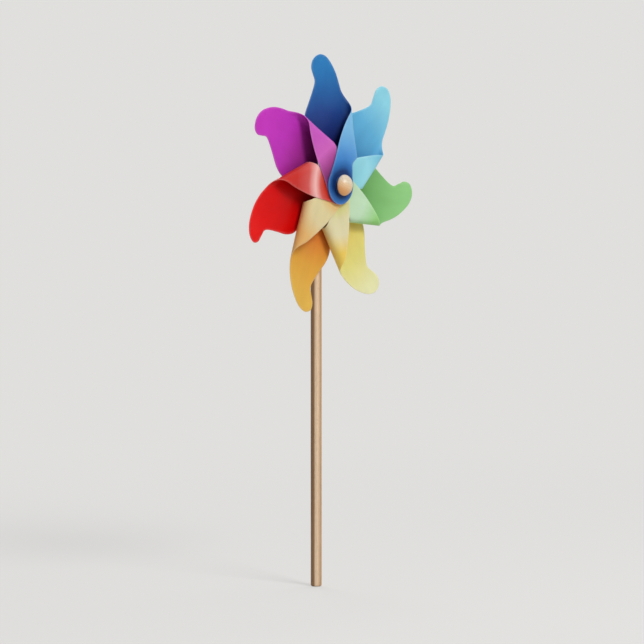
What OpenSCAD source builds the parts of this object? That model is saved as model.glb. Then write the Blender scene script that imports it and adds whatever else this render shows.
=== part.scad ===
// Toy pinwheel: a seven-blade wheel of curled plastic film that spins on a steel pin
// through the top of a round wooden stick.
// Frame: origin at the middle of the stick's lower end, +Z up the stick, wheel towards -Y.

/* [Stick] */
// Diameter of the wooden dowel
stick_d = 6.4; // [6:0.2:10]
// Height of the axle above the stick's lower end
axle_h = 232; // [160:1:320]
// Height of the stick's top above the axle
stick_over = 10; // [8:1:16]
// Length of the slight taper at the stick's top, down from the very top
taper_l = 30; // [28:1:45]
// Diameter of the stick's top, where the taper ends
stick_top_d = 6; // [5.6:0.1:8]
// Chamfer at both ends of the stick
stick_chamfer = 0.6; // [0.4:0.1:1.2]

/* [Wheel] */
// Diameter of the wheel across its blade tips
wheel_d = 150; // [146:1:170]
// Thickness of the blade film
film_t = 0.4; // [0.3:0.05:0.45]
// Radius of the blade's curl
curl_r = 4; // [3.8:0.1:5]
// Rise of the film from one blade to the one that it tucks behind
pitch = 1.2; // [1.1:0.05:1.6]
// How far the blade tips bend forward
tip_bend = 3; // [0:0.5:6]
// Angle of the first blade, turned from straight up
first_angle = 7; // [0:1:50]

/* [Hub] */
// Diameter of the axle pin
pin_d = 2; // [1.6:0.1:2.4]
// Outer diameter of the hub tube
tube_d = 5.2; // [4.8:0.1:6]
// Diameter of the round tabs that the blades' ends carry
tab_d = 22.2; // [21:0.2:23.4]
// Thickness of a tab
tab_t = 0.6; // [0.5:0.05:0.65]
// Distance from one tab to the next in the stack
tab_step = 0.65; // [0.65:0.05:0.8]
// How far the rearmost tab sits behind the curls' front
tab_drop = 1.5; // [1:0.1:2]
// Diameter of the plate behind the blades' feet
plate_d = 25; // [24.6:0.1:26]
// Thickness of the plate behind the blades' feet
plate_t = 1.2; // [1:0.1:2]
// Thickness of the ring that clamps the feet
clamp_t = 1.2; // [1:0.1:2]
// Diameter of the sleeve between the feet and the tabs
sleeve_d = 9; // [8:0.2:11]
// Diameter of a foot's peg
peg_d = 2; // [1.6:0.1:2.2]
// Radius of the circle of pegs
peg_ring_r = 9; // [8.6:0.1:9.4]
// Diameter of the clip that holds the tabs on
clip_d = 11; // [9:0.2:12]
// Thickness of the clip
clip_t = 0.8; // [0.7:0.1:1.2]

/* [Axle fittings] */
// Diameter of the front bead
bead_d = 12; // [11:0.2:14]
// Length of the front bead, along the axle
bead_l = 4.8; // [4.4:0.1:6.4]
// Length of the front bead's straight rim, behind its dome
bead_rim = 0.8; // [0.6:0.1:1.2]
// Length of the spacer bead between stick and wheel
spacer_l = 2; // [1.6:0.2:5]
// Diameter of the spacer bead
spacer_d = 6; // [5.6:0.2:8]
// Diameter of the thin washers
washer_d = 5.6; // [5.2:0.2:7.4]
// Thickness of the thin washers
washer_t = 0.5; // [0.4:0.1:0.8]
// Diameter of the push-on cap at the rear
cap_d = 6.2; // [5.8:0.2:8]
// Length of the push-on cap
cap_l = 4.2; // [3.5:0.1:6]
// Depth to which the pin enters the bead and the cap
pin_grip = 3; // [2.5:0.1:3.2]

/* [Clearances] */
// Radial gap where a piece turns on the pin
run_gap = 0.06; // [0.03:0.01:0.1]
// Radial gap of the pushed-on pieces
push_gap = 0.02; // [0.01:0.01:0.03]
// Gap along the axle between pieces that turn
end_gap = 0.3; // [0.2:0.05:0.5]

/* [Hidden] */
$fn = 96;
rim = 0.5;           // rounding of the small turned pieces
ease = 0.2;          // rounding of the moulded rings
fine = 0.1;          // rounding of the thin washers and the hub tube
past = 1;            // how far a cutting shape runs past the face that it cuts
root = 0.2;          // how deep a peg is rooted in its plate
wheel_r = wheel_d / 2;
tab_r = tab_d / 2;
plate_r = plate_d / 2;
stick_r = stick_d / 2;
blade_names = ["blade_blue", "blade_magenta", "blade_red", "blade_orange",
               "blade_yellow", "blade_green", "blade_cyan"];
blade_colors = ["#2a7ab8", "#be30b6", "#d40a0a", "#e0a848",
                "#e8dc96", "#7cb870", "#8cc8dc"];
blades = len(blade_names);
sector = 360 / blades;

// The taper starts well below the axle; its radius is needed where the spacer and cap meet it
taper_z = axle_h + stick_over - taper_l;
stick_top_r = stick_top_d / 2;
function stick_radius(z) = stick_r - (stick_r - stick_top_r) * (z - taper_z) / taper_l;

// Places along the axle, measured forward from the stick's middle
spacer_at = stick_radius(axle_h - spacer_d / 2) + end_gap;
rear_washer_at = spacer_at + spacer_l + end_gap;
plate_at = rear_washer_at + washer_t + end_gap;
foot_at = plate_at + plate_t;
clamp_at = foot_at + film_t;
sleeve_at = clamp_at + clamp_t;
curl_front = foot_at + film_t / 2 + 2 * curl_r;
tab_at = curl_front - tab_drop;
last_tab_at = tab_at + (blades - 1) * tab_step;
clip_at = last_tab_at + tab_step - tab_t / 2;
tube_end = clip_at + clip_t;
front_washer_at = tube_end + end_gap;
bead_at = front_washer_at + washer_t + end_gap;
cap_at = -stick_radius(axle_h - cap_d / 2) - push_gap;

// The front bead's dome is a slice of a ball
dome_l = bead_l - bead_rim;
dome_r = (pow(bead_d / 2, 2) + pow(dome_l, 2)) / (2 * dome_l);

// Turns a shape drawn on +Z so that it points forward along the axle from a given place
module on_axle(at) {
    translate([0, -at, axle_h]) rotate([90, 0, 0]) children();
}

// Round ring with eased edges
module ring(outer_r, inner_r, thick, edge) {
    rotate_extrude()
        polygon([[inner_r, 0], [outer_r - edge, 0], [outer_r, edge],
                 [outer_r, thick - edge], [outer_r - edge, thick], [inner_r, thick]]);
}

// Places children at each blade's foot peg
module at_pegs() {
    for (i = [0 : blades - 1])
        rotate([0, 0, first_angle + i * sector]) translate([0, peg_ring_r, 0]) children();
}

// ---- Blade surface ----
// A blade is cut from flat film. A point of the flat film is [s, v]: v runs outward from the
// hub and s runs across, over the curl and back along the front.
fold_out = 0.268 * wheel_r;
fold_x = fold_out - curl_r;
fold_s = fold_x + PI * curl_r;
fold_v = 0.217 * wheel_r;
foot_in_v = 0.5 * plate_r;
helix_from = 1.1 * plate_r;      // the film lies flat in the clamp and starts to rise here
helix_over = 0.36 * plate_r;     // distance over which the rise sets in
bend_from = 0.6;                 // share of the radius where the tip starts to bend forward
tab_blend = 2.4 * tab_r;         // distance over which a flap settles to its tab's height

// Film point on the front flap at distance u from the blade's middle line
function front(u, v) = [fold_s + fold_x - u, v];
// Film point a share of the way around the curl
function wrapped(share, v) = [fold_x + share * PI * curl_r, v];

// Ribs from the foot to the tab: the point on the outer edge, then on the inner edge
ribs = [
    [[-0.208 * plate_r, foot_in_v], [0.208 * plate_r, foot_in_v]],
    [[-0.42 * plate_r, 0.91 * plate_r], [0.42 * plate_r, 0.91 * plate_r]],
    [wheel_r * [-0.108, 0.281], wheel_r * [0.100, 0.195]],
    [wheel_r * [-0.178, 0.400], wheel_r * [0.140, 0.211]],
    [wheel_r * [-0.204, 0.475], wheel_r * [0.165, 0.216]],
    [wheel_r * [-0.183, 0.564], wheel_r * [0.186, 0.217]],
    [wheel_r * [-0.127, 0.655], [fold_x, fold_v]],
    [wheel_r * [-0.077, 0.740], wrapped(0.05, fold_v)],
    [wheel_r * [-0.056, 0.801], wrapped(0.09, fold_v)],
    [wheel_r * [-0.078, 0.856], wrapped(0.12, fold_v)],
    [wheel_r * [-0.100, 0.914], wrapped(0.15, fold_v)],
    [wheel_r * [-0.080, 0.973], wrapped(0.18, fold_v)],
    [wheel_r * [-0.012, 1.000], wrapped(0.21, fold_v)],
    [wheel_r * [0.064, 0.976], wrapped(0.25, fold_v)],
    [wheel_r * [0.127, 0.918], wrapped(0.29, fold_v)],
    [wheel_r * [0.179, 0.845], wrapped(0.34, fold_v)],
    [wrapped(0.01, 0.762 * wheel_r), wrapped(0.40, fold_v)],
    [wrapped(0.17, 0.683 * wheel_r), wrapped(0.47, fold_v)],
    [wrapped(0.41, 0.617 * wheel_r), wrapped(0.56, 0.98 * fold_v)],
    [wrapped(0.70, 0.563 * wheel_r), wrapped(0.68, 0.93 * fold_v)],
    [front(0.174 * wheel_r, 0.480 * wheel_r), wrapped(0.79, 0.88 * fold_v)],
    [front(0.043 * wheel_r, 0.328 * wheel_r), wrapped(0.90, 0.81 * fold_v)],
    [front(-0.36 * tab_r, 1.24 * tab_r), front(1.12 * tab_r, 0.95 * tab_r)],
    [front(-0.80 * tab_r, 0.55 * tab_r), front(1.02 * tab_r, 0.50 * tab_r)],
    [front(-0.95 * tab_r, 0), front(0.95 * tab_r, 0)]
];
rib_steps = 3;
half_cols = 4;
rows = (len(ribs) - 1) * rib_steps;
cols = 2 * half_cols;

function clamped(x, low, high) = min(high, max(low, x));
function eased(x) = let (c = clamped(x, 0, 1)) c * c * (3 - 2 * c);
function spline(a, b, c, d, t) =
    (2 * b + (c - a) * t + (2 * a - 5 * b + 4 * c - d) * t * t
     + (3 * b - a - 3 * c + d) * t * t * t) / 2;

// Ribs left of the middle line bend at it, so that they fan out through the round tip
function rib_middle(rib) =
    rib[0][0] < 0 && rib[0][1] > plate_r ? [0, 0.9 * rib[0][1]] : (rib[0] + rib[1]) / 2;
full_ribs = [for (rib = ribs) [rib[0], rib_middle(rib), rib[1]]];

function rib_point(row, k) =
    let (last = len(ribs) - 1,
         i = min(floor(row / rib_steps), last - 1),
         t = row / rib_steps - i)
    spline(full_ribs[max(i - 1, 0)][k], full_ribs[i][k], full_ribs[i + 1][k],
           full_ribs[min(i + 2, last)][k], t);

// The flat film's point at a row from foot to tab and a column from outer to inner edge
function film_point(row, col) =
    let (k = col < half_cols ? 0 : 1,
         t = col / half_cols - k)
    rib_point(row, k) * (1 - t) + rib_point(row, k + 1) * t;

// The curled film's point [across, outward, forward] for a tab in place i of the stack
function curled(p, i) =
    let (turn = clamped((p[0] - fold_x) / curl_r, 0, PI) * 180 / PI,
         u = p[0] < fold_x ? p[0]
             : p[0] < fold_s ? fold_x + curl_r * sin(turn) : fold_x + fold_s - p[0],
         rho = norm([u, p[1]]),
         over = eased(turn / 180),
         helix = pitch * atan2(min(p[0], fold_out), p[1]) / sector
                 * eased((rho - helix_from) / helix_over),
         bend = tip_bend * pow(max(rho / wheel_r - bend_from, 0) / (1 - bend_from), 2),
         to_tab = (i * tab_step - tab_drop) * (1 - eased((rho - tab_r) / tab_blend)))
    [u, p[1], film_t / 2 + curl_r * (1 - cos(turn)) + (helix + bend) * (1 - over) + to_tab * over];

function unit(v) = v / norm(v);
function grid_normal(g, r, c) =
    unit(cross(g[r][min(c + 1, cols)] - g[r][max(c - 1, 0)],
               g[min(r + 1, rows)][c] - g[max(r - 1, 0)][c]));

// The film as a closed shell: both sides of the curled grid and the rim between them
module film(i) {
    g = [for (r = [0 : rows]) [for (c = [0 : cols]) curled(film_point(r, c), i)]];
    side = (rows + 1) * (cols + 1);
    function at(r, c) = r * (cols + 1) + c;
    points = [for (s = [1, -1]) for (r = [0 : rows]) for (c = [0 : cols])
              g[r][c] + s * film_t / 2 * grid_normal(g, r, c)];
    front_faces = [for (r = [0 : rows - 1]) for (c = [0 : cols - 1]) each
        [[at(r, c), at(r + 1, c + 1), at(r, c + 1)], [at(r, c), at(r + 1, c), at(r + 1, c + 1)]]];
    rear_faces = [for (f = front_faces) [f[0] + side, f[2] + side, f[1] + side]];
    outline = concat([for (r = [0 : rows - 1]) at(r, 0)], [for (c = [0 : cols - 1]) at(rows, c)],
                     [for (r = [rows : -1 : 1]) at(r, cols)], [for (c = [cols : -1 : 1]) at(0, c)]);
    n = len(outline);
    rim_faces = [for (j = [0 : n - 1]) let (a = outline[j], b = outline[(j + 1) % n]) each
        [[b, a, a + side], [b, a + side, b + side]]];
    polyhedron(points, concat(front_faces, rear_faces, rim_faces), convexity = 8);
}

// Blade i with its tab in place `place` of the stack, counted from the rear
module blade(i, place) {
    color(blade_colors[i]) on_axle(foot_at) rotate([0, 0, first_angle + i * sector])
        difference() {
            union() {
                film(place);
                translate([0, 0, tab_at + place * tab_step - foot_at - tab_t / 2])
                    cylinder(r = tab_r, h = tab_t);
            }
            cylinder(d = tube_d + 2 * push_gap, h = wheel_d);
            translate([0, peg_ring_r, -past])
                cylinder(d = peg_d + 2 * push_gap, h = past + curl_r);
        }
}

module stick() {
    color("#d2b496") difference() {
        union() {
            cylinder(r1 = stick_r - stick_chamfer, r2 = stick_r, h = stick_chamfer);
            translate([0, 0, stick_chamfer])
                cylinder(r = stick_r, h = taper_z - stick_chamfer);
            translate([0, 0, taper_z])
                cylinder(r1 = stick_r, r2 = stick_top_r, h = taper_l);
            translate([0, 0, axle_h + stick_over])
                cylinder(r1 = stick_top_r, r2 = stick_top_r - stick_chamfer, h = stick_chamfer);
        }
        on_axle(-stick_d) cylinder(d = pin_d + 2 * push_gap, h = 2 * stick_d);
    }
}

module axle_pin() {
    color("#b8bcc2") on_axle(cap_at - pin_grip)
        cylinder(d = pin_d, h = bead_at + pin_grip - cap_at + pin_grip);
}

module front_bead() {
    color("#ecd4ac") on_axle(bead_at) difference() {
        rotate_extrude() intersection() {
            translate([0, bead_l - dome_r]) circle(r = dome_r);
            square([bead_d / 2, bead_l]);
        }
        translate([0, 0, -past])
            cylinder(d = pin_d + 2 * push_gap, h = past + pin_grip + push_gap);
    }
}

module rear_cap() {
    color("#d8d2c4") on_axle(cap_at - cap_l) difference() {
        rotate_extrude()
            polygon([[0, 0], [cap_d / 2 - 2 * rim, 0], [cap_d / 2 - rim, rim / 2],
                     [cap_d / 2, 2 * rim], [cap_d / 2, cap_l], [0, cap_l]]);
        translate([0, 0, cap_l - pin_grip - push_gap])
            cylinder(d = pin_d + 2 * push_gap, h = pin_grip + past);
    }
}

module spacer_bead() {
    color("#d9b483") on_axle(spacer_at)
        ring(spacer_d / 2, pin_d / 2 + run_gap, spacer_l, rim);
}

module thin_washer(at) {
    color("#c0c4c8") on_axle(at) ring(washer_d / 2, pin_d / 2 + run_gap, washer_t, fine);
}

module rear_washer() {
    thin_washer(rear_washer_at);
}

module front_washer() {
    thin_washer(front_washer_at);
}

module hub_tube() {
    color("#f0f0ee") on_axle(plate_at)
        ring(tube_d / 2, pin_d / 2 + run_gap, tube_end - plate_at, fine);
}

module rear_plate() {
    color("#f0f0ee") on_axle(plate_at) {
        ring(plate_r, tube_d / 2 + push_gap, plate_t, ease);
        at_pegs() translate([0, 0, plate_t - root])
            cylinder(d = peg_d, h = root + film_t + clamp_t / 2);
    }
}

module foot_clamp() {
    color("#f0f0ee") on_axle(clamp_at) difference() {
        ring(plate_r - rim, tube_d / 2 + push_gap, clamp_t, ease);
        at_pegs() translate([0, 0, -past])
            cylinder(d = peg_d + 2 * push_gap, h = past + clamp_t / 2 + push_gap);
    }
}

module tab_sleeve() {
    color("#f0f0ee") on_axle(sleeve_at)
        ring(sleeve_d / 2, tube_d / 2 + push_gap, tab_at - tab_t / 2 - sleeve_at, ease);
}

module tab_clip() {
    color("#1c4f96") on_axle(clip_at) ring(clip_d / 2, tube_d / 2 + push_gap, clip_t, ease);
}

stick();
axle_pin();
front_bead();
rear_cap();
spacer_bead();
rear_washer();
front_washer();
hub_tube();
rear_plate();
foot_clamp();
tab_sleeve();
tab_clip();
// The blue blade's tab is the foremost one, and the stack goes back in the blades' order
for (i = [0 : blades - 1])
    blade(i, blades - 1 - i);
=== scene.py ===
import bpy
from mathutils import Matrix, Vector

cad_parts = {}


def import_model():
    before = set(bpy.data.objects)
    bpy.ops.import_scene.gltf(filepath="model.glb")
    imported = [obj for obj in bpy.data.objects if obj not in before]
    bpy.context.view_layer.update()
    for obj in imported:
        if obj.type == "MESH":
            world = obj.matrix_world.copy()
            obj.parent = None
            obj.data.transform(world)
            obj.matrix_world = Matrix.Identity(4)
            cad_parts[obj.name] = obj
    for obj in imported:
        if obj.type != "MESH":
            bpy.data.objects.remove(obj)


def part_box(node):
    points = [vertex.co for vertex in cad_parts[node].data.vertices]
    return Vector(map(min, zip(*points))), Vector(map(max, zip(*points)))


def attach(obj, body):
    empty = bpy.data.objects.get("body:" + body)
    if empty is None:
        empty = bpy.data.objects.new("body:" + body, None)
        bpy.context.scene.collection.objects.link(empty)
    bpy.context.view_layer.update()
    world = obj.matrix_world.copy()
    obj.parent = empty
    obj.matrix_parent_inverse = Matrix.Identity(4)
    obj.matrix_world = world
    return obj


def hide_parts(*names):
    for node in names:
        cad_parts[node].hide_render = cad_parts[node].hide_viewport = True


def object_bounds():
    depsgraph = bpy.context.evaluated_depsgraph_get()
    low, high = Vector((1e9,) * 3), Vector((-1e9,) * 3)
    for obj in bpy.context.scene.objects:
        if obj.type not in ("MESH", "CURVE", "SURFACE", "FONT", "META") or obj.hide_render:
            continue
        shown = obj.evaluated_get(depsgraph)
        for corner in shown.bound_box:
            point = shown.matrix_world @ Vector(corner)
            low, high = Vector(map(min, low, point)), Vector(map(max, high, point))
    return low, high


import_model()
cad_bounds = [list(corner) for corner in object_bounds()]

import math

import bmesh
import bpy
from mathutils import Vector, noise
from mathutils.geometry import delaunay_2d_cdt

MM = 0.001

# ---- Where things are, from the CAD model ----


def centre(node):
    low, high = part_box(node)
    return (low + high) / 2


def along(node):
    """A turned piece's radius, then its rear and front, in mm forward of the stick's middle."""
    low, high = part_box(node)
    return (high.x - low.x) / 2 / MM, -high.y / MM, -low.y / MM


AXLE = centre("axle_pin")
PIN_R, PIN_REAR, PIN_FRONT = along("axle_pin")
TUBE_R = along("hub_tube")[0]
FILM_T = 0.4
FOOT_AT = along("foot_clamp")[1] - FILM_T
STICK_CHAMFER = 0.6
STICK_TAPER_L = 30.0
STICK_TOP_R = 3.0
BEAD_RIM = 0.8
BORE_EASE = 0.12
CORNER_STEPS = 4
CRISP_FROM = 35.0

# ---- The blade's shape, in millimetres, as in the CAD model ----

WHEEL_R = 75.0
CURL_R = 4.0
PITCH = 1.2
TIP_BEND = 3.0
TAB_R = 11.1
TAB_BLEND = 2.4 * TAB_R
TAB_STEP = 0.65
TAB_DROP = 1.5
TAB_SWELL = 0.17
SWELL_FROM = 0.9 * TAB_R
SWELL_OVER = 1.6
PLATE_R = 12.5
PEG_R = 1.0
PEG_RING_R = 9.0
HELIX_FROM = 1.1 * PLATE_R
HELIX_OVER = 0.36 * PLATE_R
BEND_FROM = 0.6
PUSH_GAP = 0.02
RUN_GAP = 0.06
HOLE_GAP = 0.05
FIRST_ANGLE = 7.0
BLADES = ["blue", "magenta", "red", "orange", "yellow", "green", "cyan"]
SECTOR = 360 / len(BLADES)

FOLD_OUT = 0.268 * WHEEL_R
FOLD_X = FOLD_OUT - CURL_R
FOLD_S = FOLD_X + math.pi * CURL_R
FOLD_V = 0.217 * WHEEL_R
TAB_CENTRE = (FOLD_S + FOLD_X, 0.0)

# How finely the film is meshed. Its two sides end a rim's width short of the true cut edge, and
# points at the cut heights, shares of its thickness, round the edge between them
MESH_SPACING = 1.15
EDGE_SPACING = 0.7
EDGE_STEPS = 16
RIM = 0.16
CUT_HEIGHTS = (0.26, -0.26)

# For the film's material: how much of a cut edge the rim counts as in the painted highlight that
# lightens cut edges, and how far apart in metres the blades' sheets are placed, so that no two
# have the same smudges
RIM_MARK = 0.6
SHEET_APART = 0.1


def petal(s, v):
    """A point of the flat film as shares of the wheel's radius."""
    return (s * WHEEL_R, v * WHEEL_R)


def wrapped(share, v):
    """A point a share of the way around the curl."""
    return (FOLD_X + share * math.pi * CURL_R, v)


def front(u, v):
    """A point on the front flap, u from the blade's middle line."""
    return (FOLD_S + FOLD_X - u, v)


OUTER_EDGE = [
    (-0.208 * PLATE_R, 0.5 * PLATE_R), (-0.42 * PLATE_R, 0.91 * PLATE_R),
    petal(-0.108, 0.281), petal(-0.178, 0.400), petal(-0.204, 0.475), petal(-0.183, 0.564),
    petal(-0.127, 0.655), petal(-0.077, 0.740), petal(-0.056, 0.801), petal(-0.078, 0.856),
    petal(-0.100, 0.914), petal(-0.080, 0.973), petal(-0.012, 1.000), petal(0.064, 0.976),
    petal(0.127, 0.918), petal(0.179, 0.845), wrapped(0.01, 0.762 * WHEEL_R),
    wrapped(0.17, 0.683 * WHEEL_R), wrapped(0.41, 0.617 * WHEEL_R), wrapped(0.70, 0.563 * WHEEL_R),
    front(0.174 * WHEEL_R, 0.480 * WHEEL_R), front(0.043 * WHEEL_R, 0.328 * WHEEL_R),
    front(-0.36 * TAB_R, 1.24 * TAB_R), front(-0.80 * TAB_R, 0.55 * TAB_R),
    front(-0.95 * TAB_R, 0),
]
INNER_EDGE = [
    (0.208 * PLATE_R, 0.5 * PLATE_R), (0.42 * PLATE_R, 0.91 * PLATE_R),
    petal(0.100, 0.195), petal(0.140, 0.211), petal(0.165, 0.216), petal(0.186, 0.217),
    (FOLD_X, FOLD_V), wrapped(0.12, FOLD_V), wrapped(0.29, FOLD_V), wrapped(0.47, FOLD_V),
    wrapped(0.56, 0.98 * FOLD_V), wrapped(0.68, 0.93 * FOLD_V), wrapped(0.79, 0.88 * FOLD_V),
    wrapped(0.90, 0.81 * FOLD_V), front(1.12 * TAB_R, 0.95 * TAB_R),
    front(1.02 * TAB_R, 0.50 * TAB_R), front(0.95 * TAB_R, 0),
]


def clamp(x, low, high):
    return min(high, max(low, x))


def eased(x):
    """A smooth rise from 0 to 1 as x goes from 0 to 1."""
    c = clamp(x, 0.0, 1.0)
    return c * c * (3 - 2 * c)


def spline(points, steps):
    """A smooth curve through the points, with that many steps between each two."""
    last = len(points) - 1
    curve = []
    for i in range(last):
        a, b, c, d = (points[clamp(i + k, 0, last)] for k in (-1, 0, 1, 2))
        for step in range(steps):
            t = step / steps
            curve.append(tuple(
                (2 * q + (r - p) * t + (2 * p - 5 * q + 4 * r - w) * t ** 2
                 + (3 * q - p - 3 * r + w) * t ** 3) / 2
                for p, q, r, w in zip(a, b, c, d)))
    return curve + [points[last]]


def resampled(curve, spacing):
    """The same curve with points about evenly spaced."""
    lengths = [0.0]
    for a, b in zip(curve, curve[1:]):
        lengths.append(lengths[-1] + math.dist(a, b))
    count = max(2, round(lengths[-1] / spacing))
    result, k = [], 0
    for i in range(count + 1):
        target = lengths[-1] * i / count
        while k < len(curve) - 2 and lengths[k + 1] < target:
            k += 1
        t = (target - lengths[k]) / (lengths[k + 1] - lengths[k])
        result.append(tuple(p + (q - p) * t for p, q in zip(curve[k], curve[k + 1])))
    return result


def outside_tab(curve):
    """The part of an edge up to where it runs into the round tab."""
    kept = []
    for point in curve:
        if math.dist(point, TAB_CENTRE) <= TAB_R:
            break
        kept.append(point)
    return kept


def tab_angle(point):
    return math.atan2(point[1] - TAB_CENTRE[1], point[0] - TAB_CENTRE[0])


def film_outline(spacing):
    """The flat film's outline: up the outer edge, around the tab and back by the inner edge."""
    outer = outside_tab(resampled(spline(OUTER_EDGE, EDGE_STEPS), spacing))
    inner = outside_tab(resampled(spline(INNER_EDGE, EDGE_STEPS), spacing))
    start, end = tab_angle(outer[-1]), tab_angle(inner[-1]) - math.tau
    steps = round((start - end) * TAB_R / spacing)
    around = [start + (end - start) * i / steps for i in range(1, steps)]
    arc = [(TAB_CENTRE[0] + TAB_R * math.cos(a), TAB_R * math.sin(a)) for a in around]
    return outer + arc + inner[::-1] + resampled([inner[0], outer[0]], spacing)[1:-1]


def circle(middle, radius, spacing):
    count = max(24, round(math.tau * radius / spacing))
    return [(middle[0] + radius * math.cos(math.tau * i / count),
             middle[1] + radius * math.sin(math.tau * i / count)) for i in range(count)]


def moved_in(loop, by):
    """A loop moved to its left-hand side by a distance."""
    moved = []
    for i, point in enumerate(loop):
        a, b = loop[i - 1], loop[(i + 1) % len(loop)]
        size = math.dist(a, b)
        moved.append((point[0] - (b[1] - a[1]) / size * by, point[1] + (b[0] - a[0]) / size * by))
    return moved


def inside(point, loop):
    x, y = point
    hit = False
    for (x1, y1), (x2, y2) in zip(loop, loop[1:] + loop[:1]):
        if (y1 > y) != (y2 > y) and x < (x2 - x1) * (y - y1) / (y2 - y1) + x1:
            hit = not hit
    return hit


def on_film(point, loops):
    """Whether a point is inside the outline and outside the holes."""
    return inside(point, loops[0]) and not any(inside(point, hole) for hole in loops[1:])


def filling(loops, border):
    """Points in even triangles over the film, clear of its border points."""
    lows = [min(p[k] for p in loops[0]) for k in (0, 1)]
    highs = [max(p[k] for p in loops[0]) for k in (0, 1)]
    row_height = MESH_SPACING * math.sqrt(3) / 2
    points = []
    for row in range(int((highs[1] - lows[1]) / row_height) + 1):
        v = lows[1] + row * row_height
        near = [p for p in border if abs(p[1] - v) < MESH_SPACING]
        for col in range(int((highs[0] - lows[0]) / MESH_SPACING) + 2):
            p = (lows[0] + (col + row % 2 / 2) * MESH_SPACING, v)
            if all(math.dist(p, q) > 0.6 * MESH_SPACING for q in near) and on_film(p, loops):
                points.append(p)
    return points


def flat_film():
    """The flat film cut into even triangles. Returns its points, its triangles and, for each
    loop of its outline and holes, pairs of (point number, place on the true cut edge)."""
    hub_hole = circle(TAB_CENTRE, TUBE_R + HOLE_GAP, 0.5)
    peg_hole = circle((0.0, PEG_RING_R), PEG_R + HOLE_GAP, 0.4)
    # The film lies on the left of each loop
    loops = [film_outline(EDGE_SPACING)[::-1], hub_hole[::-1], peg_hole[::-1]]
    inset = [moved_in(loop, RIM) for loop in loops]
    points, edges, rims = [], [], []
    for loop, cut in zip(inset, loops):
        first = len(points)
        points += loop
        edges += [(first + i, first + (i + 1) % len(loop)) for i in range(len(loop))]
        rims.append([(first + i, cut[i]) for i in range(len(loop))])
    points += filling(loops, points)
    made = delaunay_2d_cdt([Vector(p) for p in points], edges, [], 0, 1e-5)
    assert len(made[0]) == len(points)
    triangles = []
    for face in made[2]:
        middle = tuple(sum(points[i][k] for i in face) / 3 for k in (0, 1))
        if on_film(middle, inset):
            triangles.append(tuple(face))
    return points, triangles, rims


def curled(point, place):
    """Where a point of the flat film lies once curled: [across, outward, forward]."""
    s, v = point
    turn = clamp((s - FOLD_X) / CURL_R, 0.0, math.pi)
    if s < FOLD_X:
        u = s
    elif s < FOLD_S:
        u = FOLD_X + CURL_R * math.sin(turn)
    else:
        u = FOLD_X + FOLD_S - s
    rho = math.hypot(u, v)
    over = eased(turn / math.pi)
    helix = (PITCH * math.degrees(math.atan2(min(s, FOLD_OUT), v)) / SECTOR
             * eased((rho - HELIX_FROM) / HELIX_OVER))
    bend = TIP_BEND * (max(rho / WHEEL_R - BEND_FROM, 0.0) / (1 - BEND_FROM)) ** 2
    to_tab = (place * TAB_STEP - TAB_DROP) * (1 - eased((rho - TAB_R) / TAB_BLEND))
    lift = FILM_T / 2 + CURL_R * (1 - math.cos(turn)) + (helix + bend) * (1 - over)
    return Vector((u, v, lift + to_tab * over))


def film_normal(point, place):
    s, v = point
    step = 0.02
    across = curled((s + step, v), place) - curled((s - step, v), place)
    outward = curled((s, v + step), place) - curled((s, v - step), place)
    return across.cross(outward).normalized()


def film_thickness(point):
    """The film swells a little into its moulded tab."""
    from_tab = math.dist(point, TAB_CENTRE) - SWELL_FROM
    return FILM_T + TAB_SWELL * (1 - eased(from_tab / SWELL_OVER))


def to_wheel(p, angle):
    """From a blade's own [across, outward, forward] to the model's frame, in metres."""
    c, s = math.cos(math.radians(angle)), math.sin(math.radians(angle))
    x, z = p.x * c - p.y * s, p.x * s + p.y * c
    return (AXLE.x + x * MM, -(FOOT_AT + p.z) * MM, AXLE.z + z * MM)


def store(mesh, name, kind, field, values):
    """Keeps a value for each point of a mesh, for its material to read."""
    mesh.attributes.new(name, kind, "POINT")
    for datum, value in zip(mesh.attributes[name].data, values):
        setattr(datum, field, value)


def bridged(rings):
    """Faces that join each closed ring of points to the next one."""
    faces = []
    for upper, lower in zip(rings, rings[1:]):
        for i in range(len(upper)):
            j = (i + 1) % len(upper)
            faces.append((upper[j], upper[i], lower[i], lower[j]))
    return faces


def blade(index, flat):
    """One blade: both sides of the film, with rounded cut edges. The attribute "film" holds the
    side (0 the face, 1 the reverse), the nearness of a cut edge and the distance from the hub,
    and "sheet" holds the place on the flat film, with each blade's own sheet apart."""
    points, triangles, rims = flat
    place = len(BLADES) - 1 - index
    angle = FIRST_ANGLE + index * SECTOR
    verts, marks, sheet, faces = [], [], [], []
    rim_points = {n for rim in rims for n, _ in rim}

    def add(point, height, side, edge):
        p = curled(point, place)
        verts.append(to_wheel(p + film_normal(point, place) * height, angle))
        marks.append((side, edge, math.hypot(p.x, p.y) / WHEEL_R, 1.0))
        sheet.append((point[0] * MM, point[1] * MM, SHEET_APART * index))
        return len(verts) - 1

    for side in (1, -1):
        for n, point in enumerate(points):
            edge = RIM_MARK if n in rim_points else 0.0
            add(point, side * film_thickness(point) / 2, (1 - side) / 2, edge)
    count = len(points)
    for a, b, c in triangles:
        faces.append((a, b, c))
        faces.append((a + count, c + count, b + count))
    for rim in rims:
        rings = [[n for n, _ in rim]]
        for height in CUT_HEIGHTS:
            rings.append([add(cut, height * film_thickness(cut), 0.5 - height, 1.0)
                          for _, cut in rim])
        rings.append([n + count for n, _ in rim])
        faces += bridged(rings)
    name = f"film_{BLADES[index]}"
    mesh = bpy.data.meshes.new(name)
    mesh.from_pydata(verts, [], faces)
    store(mesh, "film", "FLOAT_COLOR", "color", marks)
    store(mesh, "sheet", "FLOAT_VECTOR", "vector", sheet)
    finished(mesh, name, "wheel", name, f"blade_{BLADES[index]}")


# The pieces made so far, each with its material slot
pieces = []


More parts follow.
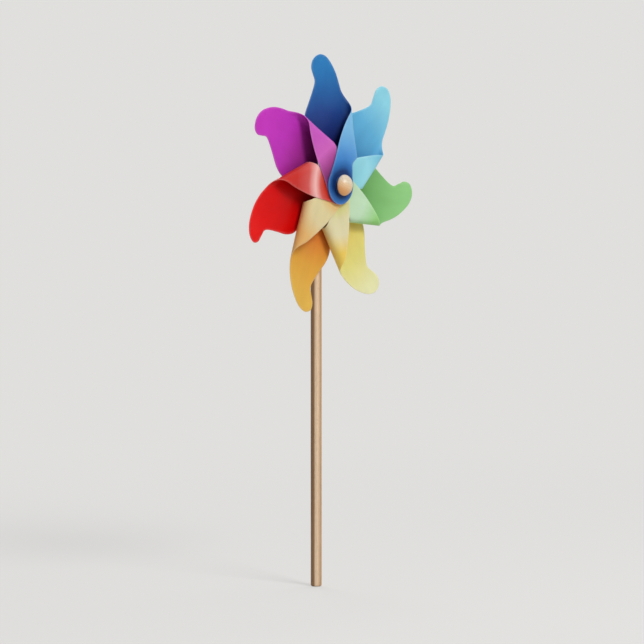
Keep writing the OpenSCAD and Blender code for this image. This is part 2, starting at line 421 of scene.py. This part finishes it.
def finished(mesh, name, body, slot, node):
    """Links a mesh as a smooth piece that stands for a CAD node and rides on a body."""
    mesh.validate()
    mesh.shade_smooth()
    piece = bpy.data.objects.new(name, mesh)
    bpy.context.scene.collection.objects.link(piece)
    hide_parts(node)
    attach(piece, body)
    pieces.append((piece, slot))


# ---- Turned and moulded pieces ----


def softened(corners):
    """An outline with its corners rounded. A corner is (radius, along, rounding), and the ends
    of an open outline have no rounding."""
    outline = []
    for i, (radius, height, rounding) in enumerate(corners):
        here = Vector((radius, height))
        if not rounding:
            outline.append(here)
            continue
        before = (Vector(corners[i - 1][:2]) - here).normalized()
        after = (Vector(corners[(i + 1) % len(corners)][:2]) - here).normalized()
        start, end = here + before * rounding, here + after * rounding
        outline.append(start + before * 0.25 * rounding)
        for k in range(CORNER_STEPS + 1):
            t = k / CORNER_STEPS
            outline.append(start * (1 - t) ** 2 + here * 2 * t * (1 - t) + end * t ** 2)
        outline.append(end + after * 0.25 * rounding)
    return outline


def stretch(start, end, steps):
    """Even points of an outline from start up to, but without, end."""
    start, end = Vector(start), Vector(end)
    return [start + (end - start) * k / steps for k in range(steps)]


def forward(radius, angle, distance):
    """A place around the axle, a distance in mm forward of the stick's middle."""
    return Vector((AXLE.x + radius * math.cos(angle) * MM, -distance * MM,
                   AXLE.z + radius * math.sin(angle) * MM))


def lathe(outline, place=forward, segments=96):
    """Spins an outline of (radius, along) around its axis. The outline closes on itself, unless
    it starts and ends on the axis."""
    verts, faces, rings = [], [], []
    for radius, height in outline:
        if radius < 1e-6:
            rings.append([len(verts)] * segments)
            verts.append(place(0.0, 0.0, height))
        else:
            rings.append([len(verts) + k for k in range(segments)])
            verts += [place(radius, math.tau * k / segments, height) for k in range(segments)]
    on_axis = outline[0][0] < 1e-6
    for lower, upper in zip(rings, rings[1:] if on_axis else rings[1:] + rings[:1]):
        for k in range(segments):
            j = (k + 1) % segments
            quad = (lower[k], lower[j], upper[j], upper[k])
            faces.append([v for n, v in enumerate(quad) if v not in quad[:n]])
    mesh = bpy.data.meshes.new("turned")
    mesh.from_pydata(verts, [], faces)
    work = bmesh.new()
    work.from_mesh(mesh)
    bmesh.ops.recalc_face_normals(work, faces=work.faces)
    work.to_mesh(mesh)
    work.free()
    return mesh


def rod(radius, low, high, angle=0.0, off=0.0):
    """A plain round tool for cutting or joining, off the axle by a distance at an angle."""
    aside = Vector((math.cos(angle), 0, math.sin(angle))) * off * MM
    return lathe([(0, low), (radius, low), (radius, high), (0, high)],
                 lambda r, a, distance: forward(r, a, distance) + aside, 48)


def combined(mesh, tools, operation):
    """A mesh with others cut from it or joined to it."""
    scene = bpy.context.scene.collection
    made = bpy.data.objects.new("work", mesh)
    scene.objects.link(made)
    helpers = []
    for tool in tools:
        helper = bpy.data.objects.new("tool", tool)
        scene.objects.link(helper)
        helpers.append(helper)
        change = made.modifiers.new("change", "BOOLEAN")
        change.operation = operation
        change.solver = "EXACT"
        change.object = helper
    result = bpy.data.meshes.new_from_object(
        made.evaluated_get(bpy.context.evaluated_depsgraph_get()))
    for piece in helpers + [made]:
        bpy.data.objects.remove(piece)
    return result


def turned(mesh, name, body, slot, node):
    """A finished piece that keeps its crisp corners."""
    finished(mesh, name, body, slot, node)
    mesh.set_sharp_from_angle(angle=math.radians(CRISP_FROM))


def ring(node, bore, edge):
    """A plain ring with eased edges that fills a node's place."""
    radius, rear, face = along(node)
    return lathe(softened([(bore, rear, BORE_EASE), (radius, rear, edge), (radius, face, edge),
                           (bore, face, BORE_EASE)]))


def peg_angles():
    """Where the blades' pegs stand around the axle."""
    return [math.radians(90 + FIRST_ANGLE + i * SECTOR) for i in range(len(BLADES))]


def worn(r, angle, z):
    """A point of the dowel, in metres, from its radius, angle and height in mm. The surface lies
    a little inside the true cylinder, with long shallow dents and fine ridges along the grain."""
    around = Vector((math.cos(angle), math.sin(angle), 0))
    dent = noise.noise(around * 1.7 + Vector((0, 0, 0.045 * z)))
    ridge = noise.noise(around * 9 + Vector((0, 0, 0.012 * z + 40)))
    kept = r - min(r, 1.0) * (0.045 + 0.03 * dent + 0.015 * ridge)
    return (around * kept + Vector((0, 0, z))) * MM


def stick():
    """The dowel: barely out of round, with eased ends and the pin's cross hole."""
    low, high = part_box("stick")
    height, radius = (high.z - low.z) / MM, (high.x - low.x) / 2 / MM
    end_flat, foot = 1.5, 4
    top = height - STICK_CHAMFER
    taper = top - STICK_TAPER_L
    outline = [Vector((0, 0))] + softened([
        (end_flat, 0, 0), (radius - STICK_CHAMFER, 0, 0.3), (radius, STICK_CHAMFER, 0.5),
        (radius, foot, 0)])
    outline += stretch((radius, foot), (radius, taper), 80)[1:]
    outline += stretch((radius, taper), (STICK_TOP_R, top), 12)
    outline += softened([(STICK_TOP_R, top - 1, 0), (STICK_TOP_R, top, 0.5),
                         (STICK_TOP_R - STICK_CHAMFER, height, 0.3), (end_flat, height, 0)])
    outline += [Vector((0, height))]
    hole = rod(PIN_R + PUSH_GAP, -2 * radius, 2 * radius)
    turned(combined(lathe(outline, worn), [hole], "DIFFERENCE"),
           "stick_dowel", "stick", "stick_wood", "stick")


def front_bead():
    """A low dome, a slice of a ball, on a short straight rim, with a blind hole for the pin."""
    radius, rear, nose = along("front_bead")
    rise = nose - rear - BEAD_RIM
    ball = (radius ** 2 + rise ** 2) / (2 * rise)
    widest = math.asin(radius / ball)
    hole, depth = PIN_R + PUSH_GAP, PIN_FRONT + PUSH_GAP
    steps, reach = 30, 0.94 * widest
    dome = [Vector((ball * math.sin(a), nose - ball * (1 - math.cos(a))))
            for a in (reach * k / steps for k in range(steps + 1))]
    outline = softened([(dome[-1].x, dome[-1].y, 0), (radius, rear + BEAD_RIM, 0.25),
                        (radius, rear, 0.3), (hole, rear, BORE_EASE), (hole, depth, 0),
                        (0, depth, 0)])
    turned(lathe(dome + outline[1:]), "bead_front", "stick", "bead_wood", "front_bead")


def rear_cap():
    """A moulded push-on cap with a small gate dimple, a shallow groove and a blind hole."""
    radius, rear, mouth = along("rear_cap")
    hole, depth = PIN_R + PUSH_GAP, PIN_REAR - PUSH_GAP
    dimple, bevel, groove, fine = 0.2, 0.9, 0.25, 0.1
    outline = softened([
        (0, rear + dimple, 0), (0.6, rear + dimple, fine), (0.9, rear, fine),
        (radius - bevel, rear, 0.35), (radius, rear + bevel, 0.5),
        (radius, mouth - 1.6, fine), (radius - groove, mouth - 1.4, fine),
        (radius - groove, mouth - 1.1, fine), (radius, mouth - 0.9, fine),
        (radius, mouth, 0.15), (hole, mouth, BORE_EASE), (hole, depth, 0), (0, depth, 0)])
    turned(lathe(outline), "cap_rear", "stick", "hub_plastic", "rear_cap")


def axle_pin():
    """The pin, with its cut ends eased."""
    ease = 0.18
    outline = softened([(0, PIN_REAR, 0), (PIN_R, PIN_REAR, ease), (PIN_R, PIN_FRONT, ease),
                        (0, PIN_FRONT, 0)])
    turned(lathe(outline, segments=48), "pin_steel", "stick", "steel", "axle_pin")


def rear_plate():
    """The plate behind the blades' feet: a rim, a boss and seven ribs around shallow pockets on
    its rear face, and seven pegs in front."""
    radius, rear, peg_top = along("rear_plate")
    bore, edge, peg_root = TUBE_R + PUSH_GAP, 0.2, 0.2
    boss, rim, half_rib, wall, pocket_depth = 4.6, radius - 1.3, 0.45, 0.4, 0.45
    steps, margin = 36, 0.5
    across = [(boss - margin + (rim - boss + 2 * margin) * k / steps, rear, 0)
              for k in range(steps + 1)]
    outline = softened([(bore, rear, BORE_EASE)] + across + [
        (radius, rear, edge), (radius, FOOT_AT, edge), (bore, FOOT_AT, BORE_EASE)])

    def place(r, angle, distance):
        beside = min(abs(r * math.sin(angle - a)) if math.cos(angle - a) > 0 else r
                     for a in peg_angles())
        pocket = (eased((r - boss) / wall) * eased((rim - r) / wall)
                  * eased((beside - half_rib) / wall))
        on_rear_face = distance < rear + 0.01
        return forward(r, angle, distance + pocket_depth * pocket * on_rear_face)

    pegs = [rod(PEG_R, FOOT_AT - peg_root, peg_top, a, PEG_RING_R) for a in peg_angles()]
    turned(combined(lathe(outline, place, 336), pegs, "UNION"),
           "plate_rear", "wheel", "hub_plastic", "rear_plate")


def foot_clamp():
    """The ring pressed onto the pegs, with a blind hole behind and a small dimple for each."""
    _, rear, face = along("foot_clamp")
    middle, past, dimple_r, dimple = (rear + face) / 2, 1, 0.8 * PEG_R, 0.2
    cuts = []
    for a in peg_angles():
        cuts.append(rod(PEG_R + PUSH_GAP, rear - past, middle + PUSH_GAP, a, PEG_RING_R))
        cuts.append(rod(dimple_r, face - dimple, face + past, a, PEG_RING_R))
    turned(combined(ring("foot_clamp", TUBE_R + PUSH_GAP, 0.2), cuts, "DIFFERENCE"),
           "clamp_ring", "wheel", "hub_plastic", "foot_clamp")


def plain_rings():
    """The tube, sleeve, clip, washers and spacer bead."""
    hub, pin = TUBE_R + PUSH_GAP, PIN_R + RUN_GAP
    for node, name, bore, edge, body, slot in (
            ("hub_tube", "tube_hub", pin, 0.15, "wheel", "hub_plastic"),
            ("tab_sleeve", "sleeve_tabs", hub, 0.25, "wheel", "hub_plastic"),
            ("tab_clip", "clip_tabs", hub, 0.3, "wheel", "clip_plastic"),
            ("rear_washer", "washer_rear", pin, 0.1, "rear_washer", "steel"),
            ("front_washer", "washer_front", pin, 0.1, "front_washer", "steel"),
            ("spacer_bead", "bead_spacer", pin, 0.6, "spacer_bead", "bead_wood")):
        turned(ring(node, bore, edge), name, body, slot, node)


# ---- Node helpers ----


def srgb(r, g, b):
    """A colour written as 0 to 255 display values, as the linear values that shaders take."""
    def linear(c):
        c /= 255
        return c / 12.92 if c <= 0.04045 else ((c + 0.055) / 1.055) ** 2.4
    return (linear(r), linear(g), linear(b), 1.0)


class Nodes:
    """A node tree built up in a few words."""

    def __init__(self, tree):
        self.tree = tree

    def node(self, kind, **settings):
        made = self.tree.nodes.new(kind)
        for key, value in settings.items():
            if hasattr(made, key):
                setattr(made, key, value)
            else:
                made.inputs[key.replace("_", " ")].default_value = value
        return made

    def link(self, source, target):
        self.tree.links.new(source, target)

    def math(self, operation, a, b=0.0):
        made = self.node("ShaderNodeMath", operation=operation)
        for value, socket in ((a, made.inputs[0]), (b, made.inputs[1])):
            if isinstance(value, bpy.types.NodeSocket):
                self.link(value, socket)
            else:
                socket.default_value = value
        return made.outputs[0]

    def shown_to_eye(self, lit, shown, fade=1.0):
        """The first shader lights the scene, and rays that the camera, a reflection or a clear
        body sends see the second one, to the share that fade says."""
        rays = self.node("ShaderNodeLightPath").outputs
        seen = self.math("MAXIMUM", rays["Is Camera Ray"], rays["Is Glossy Ray"])
        seen = self.math("MAXIMUM", seen, rays["Is Transmission Ray"])
        blend = self.node("ShaderNodeMixShader")
        for number, source in enumerate((self.math("MULTIPLY", seen, fade), lit, shown)):
            self.link(source, blend.inputs[number])
        return blend.outputs[0]


class Material(Nodes):
    """A material built up in a few words."""

    def __init__(self, name):
        self.data = bpy.data.materials.new(name)
        self.data.use_nodes = True
        super().__init__(self.data.node_tree)
        self.shader = self.tree.nodes["Principled BSDF"]

    def plain(self, **values):
        for key, value in values.items():
            self.shader.inputs[key.replace("_", " ")].default_value = value

    def position(self):
        return self.node("ShaderNodeTexCoord").outputs["Object"]

    def scaled(self, vector, scale, offset=(0, 0, 0)):
        mapping = self.node("ShaderNodeMapping", Scale=scale, Location=offset)
        self.link(vector, mapping.inputs["Vector"])
        return mapping.outputs[0]

    def noise(self, vector, scale, detail=4.0, roughness=0.5):
        made = self.node("ShaderNodeTexNoise", Scale=scale, Detail=detail, Roughness=roughness)
        self.link(vector, made.inputs["Vector"])
        return made.outputs["Fac"]

    def ramp(self, factor, *stops, smooth=True):
        ramp = self.node("ShaderNodeValToRGB")
        ramp.color_ramp.interpolation = "EASE" if smooth else "LINEAR"
        elements = ramp.color_ramp.elements
        while len(elements) < len(stops):
            elements.new(0.5)
        for element, (at, color) in zip(elements, stops):
            element.position = at
            element.color = color
        self.link(factor, ramp.inputs[0])
        return ramp.outputs[0]

    def grey(self, factor, *stops):
        return self.ramp(factor, *[(at, (v, v, v, 1.0)) for at, v in stops])

    def mix(self, factor, a, b, blend="MIX"):
        mix = self.node("ShaderNodeMix", data_type="RGBA", blend_type=blend)
        for value, socket in ((factor, mix.inputs[0]), (a, mix.inputs[6]), (b, mix.inputs[7])):
            if isinstance(value, bpy.types.NodeSocket):
                self.link(value, socket)
            else:
                socket.default_value = value
        return mix.outputs[2]

    def bump(self, height, strength, distance):
        bump = self.node("ShaderNodeBump", Strength=strength, Distance=distance)
        self.link(height, bump.inputs["Height"])
        self.link(bump.outputs[0], self.shader.inputs["Normal"])

    def color(self, socket):
        self.link(socket, self.shader.inputs["Base Color"])

    def roughness(self, socket):
        self.link(socket, self.shader.inputs["Roughness"])


# ---- Materials ----

# Colours of each film by distance from the hub: (share of the wheel's radius, colour), first on
# its face, then on its reverse. The deeper colours towards the hub are painted shade, where the
# flaps and the hub shade the film, and the pale bands in the reverses are a painted highlight, a
# sheen on the flaps; the reverse's paler tone overall is the film's own
FILMS = {
    "blue": (
        ((0.16, (36, 50, 116)), (0.36, (32, 42, 108)), (0.56, (36, 68, 136)),
         (0.74, (38, 100, 164)), (0.92, (44, 126, 186))),
        ((0.11, (22, 54, 108)), (0.15, (42, 100, 166)), (0.20, (66, 130, 196)),
         (0.32, (96, 158, 212)), (0.46, (124, 184, 224)))),
    "magenta": (
        ((0.16, (128, 34, 112)), (0.38, (154, 42, 138)), (0.62, (184, 52, 180)),
         (0.92, (194, 50, 186))),
        ((0.14, (112, 44, 100)), (0.22, (162, 68, 138)), (0.32, (204, 102, 186)),
         (0.46, (196, 88, 186)))),
    "red": (
        ((0.16, (172, 22, 16)), (0.36, (184, 8, 10)), (0.60, (206, 2, 4)),
         (0.92, (222, 0, 0))),
        ((0.16, (194, 44, 28)), (0.21, (208, 88, 78)), (0.27, (242, 184, 180)),
         (0.35, (208, 92, 88)), (0.47, (198, 50, 44)))),
    "orange": (
        ((0.20, (196, 98, 40)), (0.44, (208, 124, 50)), (0.64, (216, 160, 62)),
         (0.92, (216, 174, 76))),
        ((0.15, (226, 180, 110)), (0.24, (222, 208, 158)), (0.36, (220, 204, 158)),
         (0.52, (222, 178, 112)))),
    "yellow": (
        ((0.20, (222, 176, 84)), (0.42, (220, 196, 100)), (0.66, (218, 208, 124)),
         (0.92, (222, 220, 172))),
        ((0.15, (208, 204, 120)), (0.26, (220, 212, 168)), (0.38, (224, 214, 174)),
         (0.54, (234, 200, 96)))),
    "green": (
        ((0.20, (84, 136, 72)), (0.42, (104, 160, 88)), (0.66, (126, 182, 112)),
         (0.92, (146, 200, 132))),
        ((0.15, (172, 214, 128)), (0.24, (190, 218, 182)), (0.38, (192, 222, 188)),
         (0.54, (144, 202, 118)))),
    "cyan": (
        ((0.20, (66, 128, 174)), (0.42, (78, 150, 194)), (0.66, (98, 172, 208)),
         (0.92, (144, 208, 224))),
        ((0.15, (132, 198, 216)), (0.26, (142, 208, 222)), (0.40, (152, 214, 226)),
         (0.54, (120, 190, 214)))),
}


def film_color(m, name, sheet, side, rho):
    """The film's colour on its face and its reverse, with the painted shade towards the hub and
    the painted highlight on the flaps that FILMS holds. The sheet behind the fold, which shows
    only from the rear, has mostly the colour of its flap's outer end."""
    spot = m.node("ShaderNodeSeparateXYZ")
    m.link(sheet, spot.inputs[0])
    past_fold = m.grey(m.math("DIVIDE", spot.outputs["X"], FOLD_S * MM),
                       (FOLD_X / FOLD_S, 0.0), (1.0, 1.0))
    drift = m.math("MULTIPLY", m.math("SUBTRACT", m.noise(sheet, 30, 2), 0.5), 0.12)
    reach = m.math("ADD", rho, drift)
    # The ramps hold painted shade towards the hub and a painted highlight on the flaps
    face, reverse = (m.ramp(reach, *[(at, srgb(*rgb)) for at, rgb in stops], smooth=False)
                     for stops in FILMS[name])
    flap_end = FILMS[name][1][-1][1]
    back = m.mix(0.3, srgb(*flap_end), face)
    body = m.mix(side, face, m.mix(past_fold, back, reverse))
    uneven = m.grey(m.noise(m.scaled(sheet, (1, 0.3, 1)), 150, 3), (0.3, 0.94), (0.7, 1.0))
    return m.mix(1.0, body, uneven, "MULTIPLY")


def film_material(name):
    """Thin satin plastic film, deeper towards the hub with painted shade, with a painted highlight
    on its flaps, smudges, fine scratches, drawn lines and slightly pale cut edges that are a
    painted highlight."""
    m = Material(f"film_{name}")
    mark = m.node("ShaderNodeSeparateColor")
    m.link(m.node("ShaderNodeAttribute", attribute_name="film").outputs["Color"], mark.inputs[0])
    side, edge, rho = mark.outputs
    sheet = m.node("ShaderNodeAttribute", attribute_name="sheet").outputs["Vector"]
    body = film_color(m, name, sheet, side, rho)
    # Painted highlight: cut edges are lightened a little towards near white
    m.color(m.mix(m.math("MULTIPLY", edge, 0.10), body, srgb(244, 238, 232)))
    smudge = m.noise(sheet, 70, 5, 0.6)
    scratch = m.noise(m.scaled(sheet, (1, 0.03, 1)), 2600, 3, 0.7)
    m.roughness(m.math("ADD", m.grey(smudge, (0.3, 0.30), (0.7, 0.40)),
                       m.grey(scratch, (0.62, 0.0), (0.75, 0.10))))
    waves = m.noise(sheet, 85, 2)
    lines = m.noise(m.scaled(sheet, (1, 0.02, 1)), 900, 2)
    m.bump(m.math("ADD", waves, m.math("MULTIPLY", lines, 0.05)), 0.3, 0.0004)
    m.plain(IOR=1.49, Specular_IOR_Level=0.12, Subsurface_Weight=0.5, Subsurface_Scale=0.001,
            Subsurface_Radius=(1, 1, 1))
    return m.data


def wood_grain(m, pith, ring, wander, colors, shares):
    """Solid wood: growth rings around a far pith that wander a little, fibres and pores. Gives
    its colour, the pores and the distance from the pith. All sizes are in mm, and the grain runs
    along the axis whose share is below 1."""
    place = m.scaled(m.position(), (1 / MM, 1 / MM, 1 / MM))
    flat = [float(share == 1) for share in shares]
    across = m.node("ShaderNodeVectorMath", operation="LENGTH")
    m.link(m.scaled(place, flat, [-p * f for p, f in zip(pith, flat)]), across.inputs[0])
    slow = m.scaled(place, shares)
    warp = m.math("MULTIPLY", m.noise(slow, 0.3, 3), wander)
    count = m.math("DIVIDE", m.math("ADD", across.outputs["Value"], warp), ring)
    early, late, fibre = (srgb(*c) for c in colors)
    rings = m.ramp(m.math("FRACT", count), (0.0, early), (0.62, early), (0.92, late), (1.0, early),
                   smooth=False)
    fibres = m.noise(slow, 5.5, 4, 0.65)
    color = m.mix(m.grey(fibres, (0.42, 0.55), (0.62, 0.0)), rings, fibre)
    pores = m.noise(slow, 9, 2, 0.5)
    color = m.mix(0.8, color, m.grey(pores, (0.34, 0.62), (0.42, 1.0)), "MULTIPLY")
    return color, pores, across.outputs["Value"]


def wood_material():
    """Bare sanded dowel with painted shade, brown down one side and tan down the opposite side
    with the wood's own colour between, and darker end grain."""
    m = Material("stick_wood")
    pith, far_side, width = (-15, 11, 0), 20.1, 5.0
    color, pores, across = wood_grain(m, pith, 1.3, 2.6,
                                      ((236, 208, 176), (210, 176, 140), (218, 188, 154)),
                                      (1, 1, 0.03))
    long_grain = m.scaled(m.position(), (1 / MM, 1 / MM, 0.03 / MM))
    ragged = m.math("MULTIPLY", m.noise(long_grain, 0.5, 2), 0.1)
    # Painted shade: the side nearest the pith turns brown and the far side tan, and the middle
    # keeps the wood's colour
    toward_brown_shade = m.math("DIVIDE", m.math("SUBTRACT", far_side, across), width)
    depth = m.math("ADD", toward_brown_shade, ragged)
    painted_side_shade = m.ramp(depth, (0.0, srgb(214, 200, 184)), (0.18, srgb(255, 255, 255)),
                  (0.50, srgb(255, 255, 255)), (0.76, srgb(166, 146, 127)))
    color = m.mix(1.0, color, painted_side_shade, "MULTIPLY")
    ends = m.node("ShaderNodeSeparateXYZ")
    m.link(m.node("ShaderNodeNewGeometry").outputs["Normal"], ends.inputs[0])
    darker = m.grey(m.math("ABSOLUTE", ends.outputs["Z"]), (0.5, 1.0), (0.85, 0.72))
    m.color(m.mix(1.0, color, darker, "MULTIPLY"))
    m.roughness(m.grey(pores, (0.3, 0.66), (0.6, 0.54)))
    m.bump(pores, 0.3, 0.00015)
    m.plain(IOR=1.45, Specular_IOR_Level=0.3)
    return m.data


def bead_material():
    """Pale lacquered wood, with painted shade that turns it warmer and darker towards its lower
    left.
    """
    m = Material("bead_wood")
    color, pores, _ = wood_grain(m, (0, 30, 190), 0.9, 0.6,
                                 ((236, 222, 200), (226, 206, 178), (230, 212, 186)), (0.04, 1, 1))
    # Painted shade: a tint that darkens and warms the bead towards its lower left and leaves its
    # upper right pale
    low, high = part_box("front_bead")
    right, up = 0.5 / (high.z - low.z), 0.9 / (high.z - low.z)
    lean = m.scaled(m.position(), (right, 0, up), (-right * AXLE.x, 0, -up * AXLE.z))
    total = m.node("ShaderNodeVectorMath", operation="DOT_PRODUCT")
    total.inputs[1].default_value = (1, 0, 1)
    m.link(lean, total.inputs[0])
    painted_lower_left_shade = m.ramp(m.math("ADD", total.outputs["Value"], 0.5), (0.12, srgb(246, 192, 134)),
                  (0.40, srgb(246, 222, 192)), (0.62, srgb(238, 236, 230)))
    m.color(m.mix(1.0, color, painted_lower_left_shade, "MULTIPLY"))
    m.roughness(m.grey(pores, (0.3, 0.46), (0.6, 0.38)))
    m.plain(IOR=1.5, Coat_Weight=0.2, Coat_Roughness=0.28)
    return m.data


def steel_material():
    """Bright steel with fine turning marks around the axle."""
    m = Material("steel")
    place = m.scaled(m.position(), (1 / MM, 0, 1 / MM), (-AXLE.x / MM, 0, -AXLE.z / MM))
    radius = m.node("ShaderNodeVectorMath", operation="LENGTH")
    m.link(place, radius.inputs[0])
    marks = m.node("ShaderNodeCombineXYZ")
    m.link(radius.outputs["Value"], marks.inputs["X"])
    fine = m.noise(marks.outputs[0], 22, 3, 0.6)
    m.color(m.ramp(fine, (0.3, srgb(170, 172, 176)), (0.7, srgb(204, 206, 210))))
    m.roughness(m.grey(fine, (0.3, 0.24), (0.7, 0.38)))
    m.bump(fine, 0.15, 0.00005)
    m.plain(Metallic=1.0)
    return m.data


def plastic_material(name, color, shade):
    """Moulded plastic: a faint mottle, and a skin that is a little uneven."""
    m = Material(name)
    mottle = m.noise(m.position(), 300, 4, 0.6)
    skin = m.noise(m.position(), 2600, 3, 0.5)
    m.color(m.ramp(mottle, (0.3, srgb(*shade)), (0.7, srgb(*color))))
    m.roughness(m.grey(mottle, (0.3, 0.32), (0.7, 0.42)))
    m.bump(skin, 0.12, 0.00006)
    m.plain(IOR=1.48, Specular_IOR_Level=0.4)
    return m.data


# ---- Build ----


def build_blades():
    flat = flat_film()
    for index in range(len(BLADES)):
        blade(index, flat)


def dress():
    """Gives every piece the material of its slot."""
    materials = {f"film_{name}": film_material(name) for name in BLADES}
    materials["stick_wood"] = wood_material()
    materials["bead_wood"] = bead_material()
    materials["steel"] = steel_material()
    materials["hub_plastic"] = plastic_material("hub_plastic", (236, 236, 232), (224, 224, 220))
    materials["clip_plastic"] = plastic_material("clip_plastic", (30, 74, 140), (22, 60, 122))
    for piece, slot in pieces:
        piece.data.materials.clear()
        piece.data.materials.append(materials[slot])


build_blades()
stick()
front_bead()
rear_cap()
axle_pin()
rear_plate()
foot_clamp()
plain_rings()
dress()

# ---- Floor, light and camera ----

STAGE_COLOR = (224, 223, 221)
STAGE_HALF = 25.0
WORLD_STRENGTH = 0.38
CAMERA_AZIMUTH = -50.0
CAMERA_ELEVATION = 4.0
CAMERA_DISTANCE = 1.9
CAMERA_LENS = 185.0
LAMP_AIM = Vector((0, 0, 0.2))

# Each lamp: its azimuth from the camera's, elevation, distance, size and watts
LAMPS = {
    "key": (40, 38, 1.6, 0.7, 16.5),
    "top": (150, 65, 1.5, 0.9, 5),
    "back": (205, 25, 1.8, 1.2, 9),
}


def pale_stage():
    """A wide pale floor that keeps the shadow near the object and fades into the backdrop."""
    m = Material("stage")
    m.plain(Roughness=0.9, Base_Color=srgb(*STAGE_COLOR))
    away = m.node("ShaderNodeVectorMath", operation="LENGTH")
    m.link(m.position(), away.inputs[0])
    fade = m.grey(away.outputs["Value"], (0.15, 0.55), (0.8, 1.0))
    glow = m.node("ShaderNodeEmission", Color=srgb(*STAGE_COLOR), Strength=1.0)
    surface = m.shown_to_eye(m.shader.outputs[0], glow.outputs[0], fade)
    m.link(surface, m.tree.nodes["Material Output"].inputs["Surface"])
    mesh = bpy.data.meshes.new("stage")
    corners = [(x * STAGE_HALF, y * STAGE_HALF, 0)
               for x, y in ((-1, -1), (1, -1), (1, 1), (-1, 1))]
    mesh.from_pydata(corners, [], [(0, 1, 2, 3)])
    mesh.materials.append(m.data)
    stage = bpy.data.objects.new("stage", mesh)
    bpy.context.scene.collection.objects.link(stage)


def away_from_wheel(azimuth, elevation):
    """The direction from the object to a lamp or camera. Azimuth 0 is in front of the wheel."""
    a, e = math.radians(azimuth), math.radians(elevation)
    return Vector((math.sin(a) * math.cos(e), -math.cos(a) * math.cos(e), math.sin(e)))


def area_light(name, azimuth, elevation, distance, size, watts):
    """A soft round lamp aimed at the wheel."""
    back = away_from_wheel(azimuth, elevation)
    data = bpy.data.lights.new(name, "AREA")
    data.shape = "DISK"
    data.size = size
    data.energy = watts
    lamp = bpy.data.objects.new(name, data)
    bpy.context.scene.collection.objects.link(lamp)
    lamp.location = LAMP_AIM + back * distance
    lamp.rotation_euler = (-back).to_track_quat("-Z", "Y").to_euler()


def camera():
    """Looks at the wheel from its own right-hand side, as the picture shows it."""
    back = away_from_wheel(CAMERA_AZIMUTH, CAMERA_ELEVATION)
    data = bpy.data.cameras.new("camera")
    data.lens = CAMERA_LENS
    made = bpy.data.objects.new("camera", data)
    bpy.context.scene.collection.objects.link(made)
    low, high = cad_bounds
    aim = Vector((0, AXLE.y / 2, (low[2] + high[2]) / 2))
    made.location = aim + back * CAMERA_DISTANCE
    made.rotation_euler = (-back).to_track_quat("-Z", "Y").to_euler()
    bpy.context.scene.camera = made


def world():
    """Even dim light all around; the camera and reflections see the stage's own colour."""
    made = bpy.data.worlds.new("world")
    bpy.context.scene.world = made
    made.use_nodes = True
    sky = Nodes(made.node_tree)
    dim = sky.node("ShaderNodeBackground", Color=srgb(240, 240, 240), Strength=WORLD_STRENGTH)
    plain = sky.node("ShaderNodeBackground", Color=srgb(*STAGE_COLOR))
    surface = sky.shown_to_eye(dim.outputs[0], plain.outputs[0])
    sky.link(surface, sky.tree.nodes["World Output"].inputs["Surface"])


def light():
    for name, (turn, elevation, distance, size, watts) in LAMPS.items():
        area_light(name, CAMERA_AZIMUTH + turn, elevation, distance, size, watts)
    world()


pale_stage()
light()
camera()
bpy.context.scene.view_settings.view_transform = "Standard"
